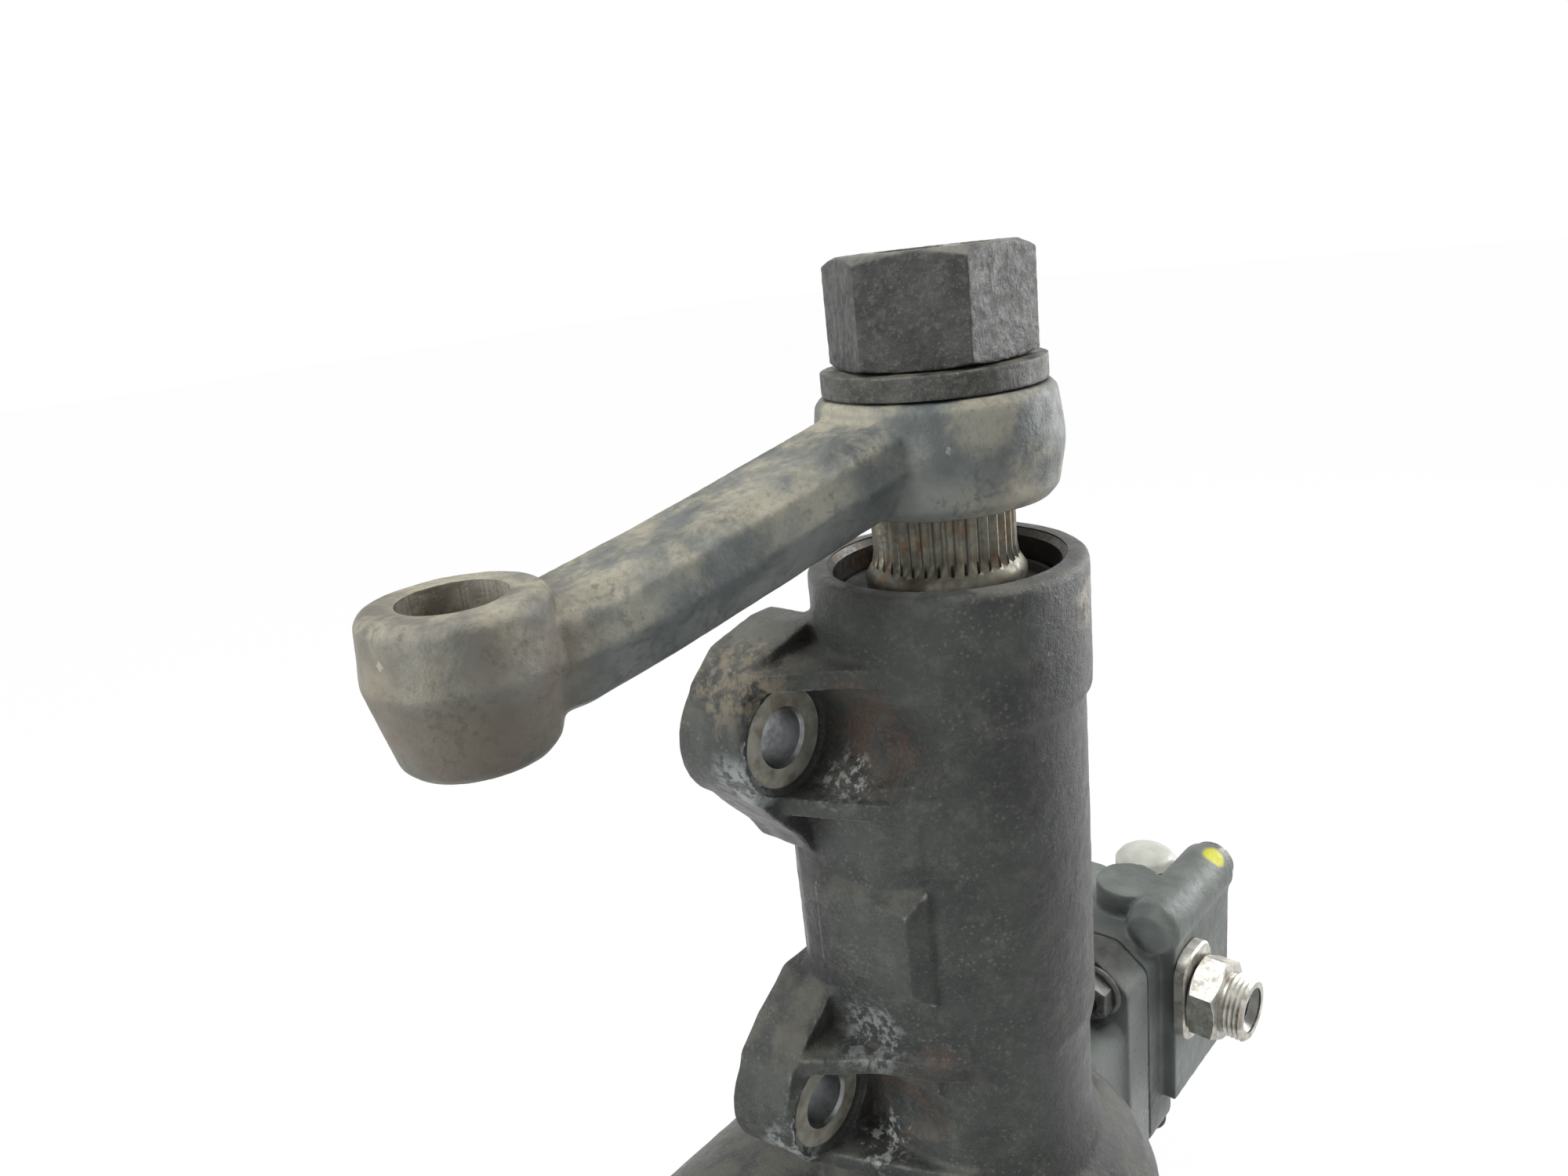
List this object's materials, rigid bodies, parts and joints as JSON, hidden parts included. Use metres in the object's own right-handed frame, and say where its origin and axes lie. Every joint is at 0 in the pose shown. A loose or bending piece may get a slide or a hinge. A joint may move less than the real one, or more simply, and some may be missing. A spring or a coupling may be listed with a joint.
{
  "type": "steering gearbox",
  "caption": "Recirculating ball steering gearbox with a cast housing, rotary valve end, input shaft, splined sector shaft and a Pitman arm under a tall hexagon nut.",
  "frame": {"origin": "centre of the sector shaft's threaded end face", "axes": "+Z out of the threaded end along the sector shaft, +X along the worm to the input shaft's end, +Y to the chassis side"},
  "size_m": [0.3083, 0.136, 0.3403],
  "materials": {
    "painted_casting": "satin black paint over a rough sand casting, dusty, with small chips and rust stains",
    "forged_arm": "dark forged skin with tan dust and light rust",
    "nut_steel": "dark gritty phosphate with bright worn corners",
    "shaft_steel": "bare machined steel with dark grooves between the splines",
    "bolt_steel": "dark phosphate steel",
    "plated_steel": "silver zinc plate, dulled",
    "machined_steel": "ground and machined steel",
    "bronze_bush": "plain bearing bronze",
    "black_rubber": "black moulded rubber",
    "pale_plastic": "pale grey-beige transit cap"
  },
  "bodies": {
    "housing": {"gear_housing": "painted_casting", "side_cover": "painted_casting", "side_cover_seal": "black_rubber", "cover_bush": "bronze_bush", "cover_bolt_1": "bolt_steel", "cover_bolt_2": "bolt_steel", "cover_bolt_3": "bolt_steel", "cover_bolt_4": "bolt_steel", "adjuster_screw": "plated_steel", "adjuster_lock_nut": "plated_steel", "upper_needle_bearing": "machined_steel", "lower_needle_bearing": "machined_steel", "output_oil_seal": "black_rubber", "output_retaining_ring": "bolt_steel", "output_dust_seal": "black_rubber", "cylinder_end_plug": "bolt_steel", "end_plug_seal": "black_rubber", "end_plug_retaining_ring": "plated_steel", "valve_housing": "painted_casting", "valve_joint_seal": "black_rubber", "valve_bolt_1": "bolt_steel", "valve_bolt_2": "bolt_steel", "valve_bolt_3": "bolt_steel", "valve_bolt_4": "bolt_steel", "pressure_port_plate": "plated_steel", "pressure_union": "plated_steel", "return_port_cap": "pale_plastic", "relief_valve_plug": "bolt_steel", "worm_bearing": "machined_steel", "bearing_adjuster": "machined_steel", "input_oil_seal": "black_rubber", "input_dust_cover": "black_rubber"},
    "sector": {"sector_shaft": "shaft_steel", "pitman_arm": "forged_arm", "lock_washer": "nut_steel", "pitman_nut": "nut_steel"},
    "rack": {"rack_piston": "machined_steel", "piston_ring": "bolt_steel", "piston_end_plug": "machined_steel", "recirculating_balls": "plated_steel", "ball_return_guide": "plated_steel"},
    "worm": {"worm_shaft": "machined_steel", "valve_sleeve": "machined_steel", "sleeve_ring_1": "black_rubber", "sleeve_ring_2": "black_rubber", "sleeve_ring_3": "black_rubber", "torsion_bar": "machined_steel"},
    "input": {"input_shaft": "shaft_steel"}
  },
  "joints": [
    {"name": "sector_turn", "type": "hinge", "parent": "housing", "child": "sector", "pos_m": [0, 0, 0], "axis": [0, 0, 1], "range_deg": [-43, 43]},
    {"name": "rack_slide", "type": "slide", "parent": "housing", "child": "rack", "axis": [1, 0, 0], "range_m": [-0.017, 0.017]},
    {"name": "worm_turn", "type": "hinge", "parent": "housing", "child": "worm", "pos_m": [0, 0.044, -0.266], "axis": [1, 0, 0], "range_deg": [-640, 640]},
    {"name": "valve_twist", "type": "hinge", "parent": "worm", "child": "input", "pos_m": [0, 0.044, -0.266], "axis": [1, 0, 0], "range_deg": [-5, 5], "stiffness_Nm_per_rad": 57}
  ],
  "couplings": [
    {"joint": "rack_slide", "follows": "sector_turn", "m_per_rad": -0.0224},
    {"joint": "worm_turn", "follows": "sector_turn", "ratio": 14.815}
  ]
}
